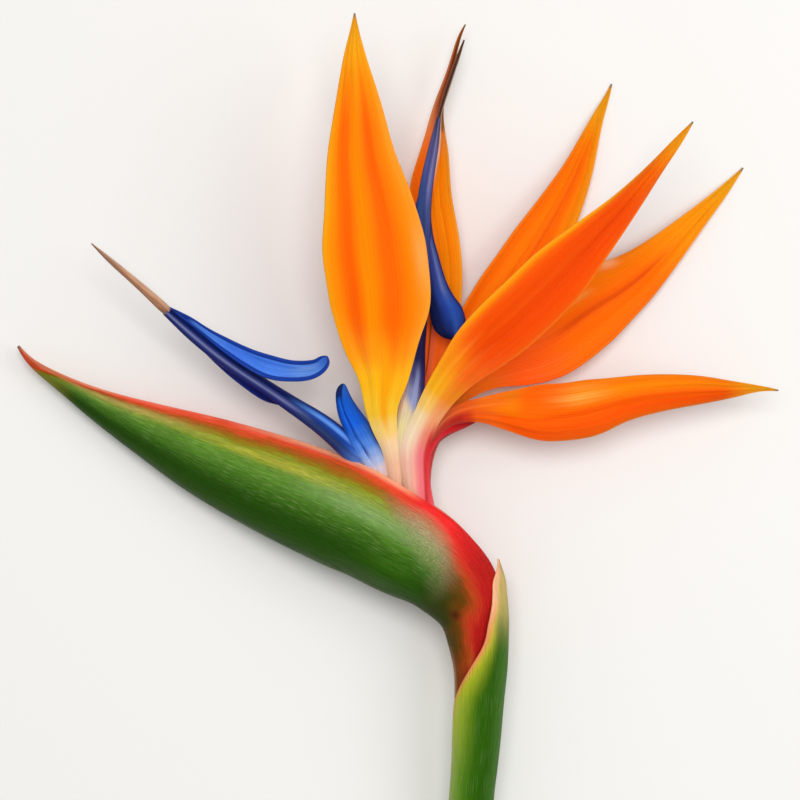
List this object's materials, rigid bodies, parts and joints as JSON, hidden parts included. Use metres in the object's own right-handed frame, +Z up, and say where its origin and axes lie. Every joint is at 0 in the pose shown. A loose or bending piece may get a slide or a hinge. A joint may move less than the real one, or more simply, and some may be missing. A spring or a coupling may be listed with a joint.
{
  "type": "bird of paradise flower",
  "caption": "Cut bird of paradise flower lying on its side: a boat-shaped green spathe on a sheathed stalk, with upright orange sepals and blue arrow-shaped petals.",
  "frame": {"origin": "under the middle of the flower's box, on the surface that it lies on", "axes": "+X from the spathe's tip to the fan of sepals, +Y up the stalk towards the sepals' tips, +Z up from the surface"},
  "size_m": [0.207, 0.2906, 0.0456],
  "materials": {
    "stalk": "satin",
    "sheath": "satin",
    "spathe": "satin",
    "bracteole": "satin",
    "ovary": "satin",
    "sepal": "satin",
    "blue_petal": "satin",
    "stigma": "matte"
  },
  "bodies": {
    "root": {"peduncle": "stalk", "sheath": "sheath", "spathe": "spathe", "bracteole": "bracteole", "flower_1_ovary": "ovary", "flower_2_ovary": "ovary", "flower_1_front_sepal": "sepal", "flower_1_middle_sepal": "sepal", "flower_1_back_sepal": "sepal", "flower_2_front_sepal": "sepal", "flower_2_back_sepal": "sepal", "flower_2_low_sepal": "sepal", "flower_1_arrow": "blue_petal", "flower_2_arrow": "blue_petal", "flower_1_hood_petal": "blue_petal", "flower_2_hood_petal": "blue_petal", "flower_1_stigma": "stigma", "flower_2_stigma": "stigma"}
  },
  "joints": []
}
